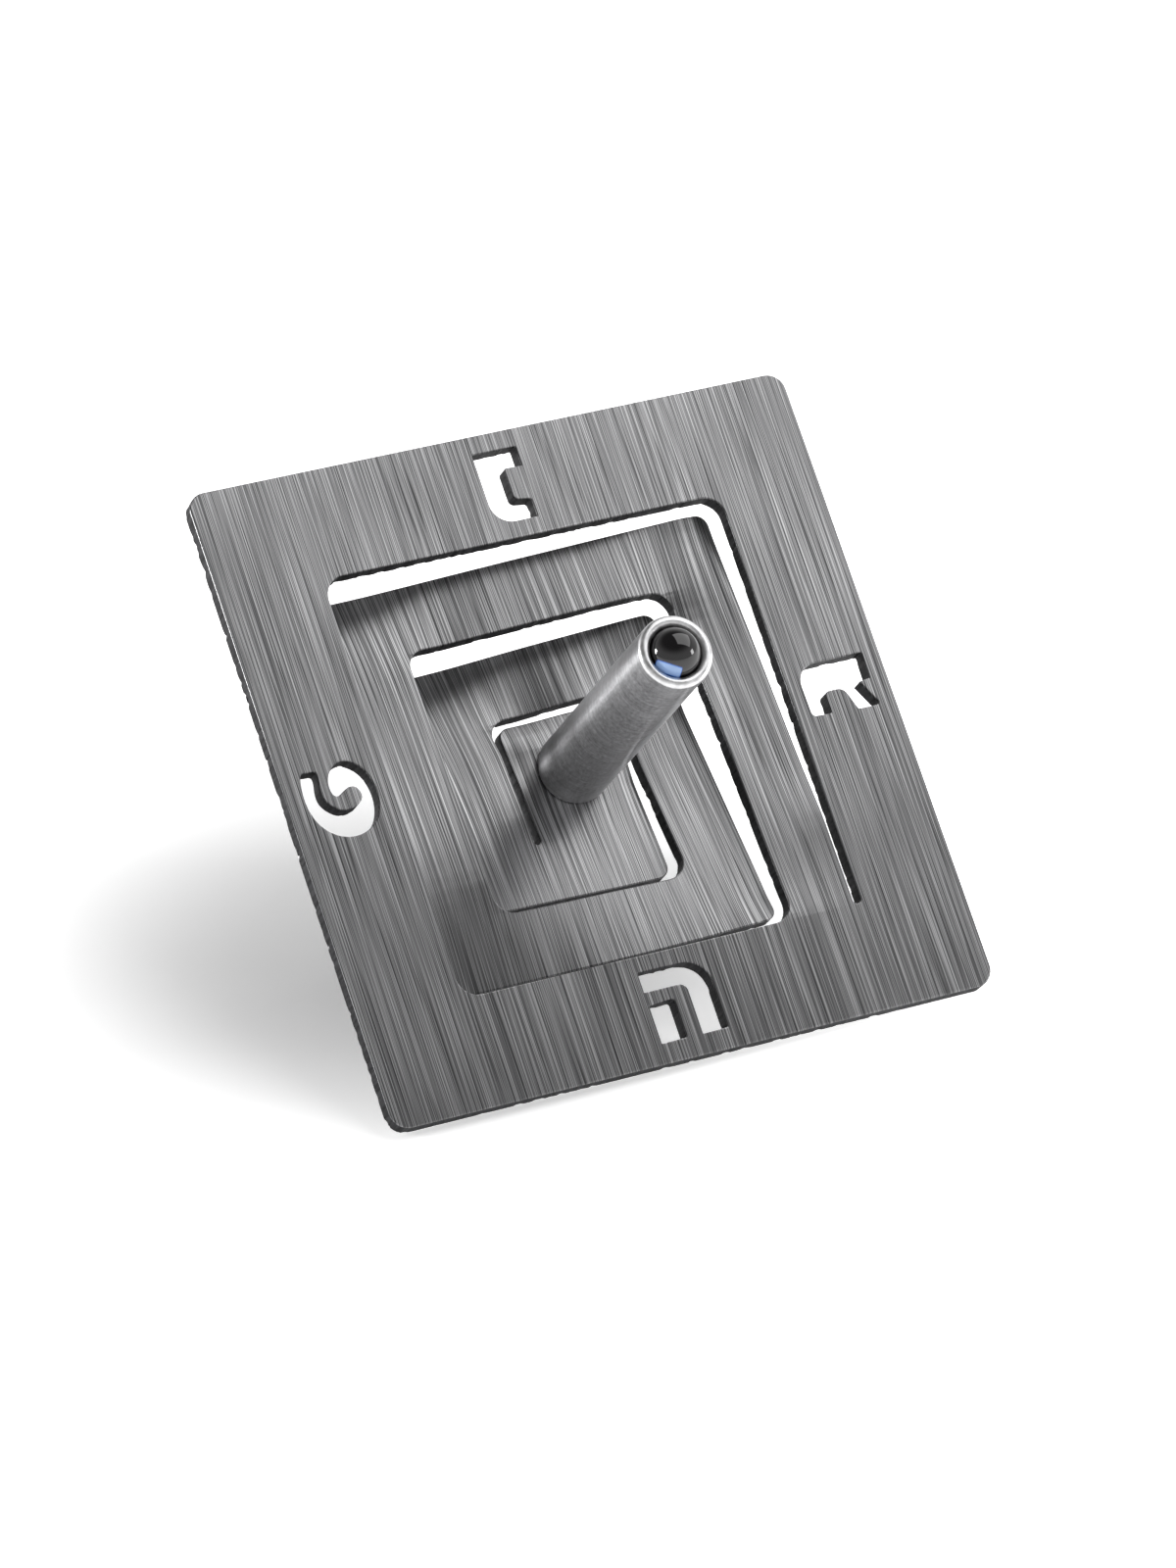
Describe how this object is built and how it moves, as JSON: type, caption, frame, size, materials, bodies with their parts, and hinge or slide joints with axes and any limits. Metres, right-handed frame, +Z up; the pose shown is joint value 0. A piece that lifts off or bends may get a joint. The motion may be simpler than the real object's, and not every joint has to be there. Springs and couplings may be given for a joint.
{
  "type": "dreidel",
  "caption": "Metal dreidel: square plate cut as a pressed square spiral with pierced letters, on a round bar with a glass ball in each end, leaning on a table.",
  "frame": {"origin": "on the floor the part stands on, under the middle of its bounding box", "axes": "+Z up; +X along the plate's lower edge, to the right when the handle points at the viewer; +Y to the back, the way the plate leans away"},
  "size_m": [0.07, 0.0532, 0.0509],
  "materials": {
    "brushed_sheet": "brushed",
    "turned_bar": "satin",
    "blue_glass": "polished",
    "stud_steel": "plain"
  },
  "bodies": {
    "root": {"plate": "brushed_sheet", "handle_bar": "turned_bar", "tip_bar": "turned_bar", "handle_ball": "blue_glass", "tip_ball": "blue_glass", "joining_stud": "stud_steel"}
  },
  "joints": []
}
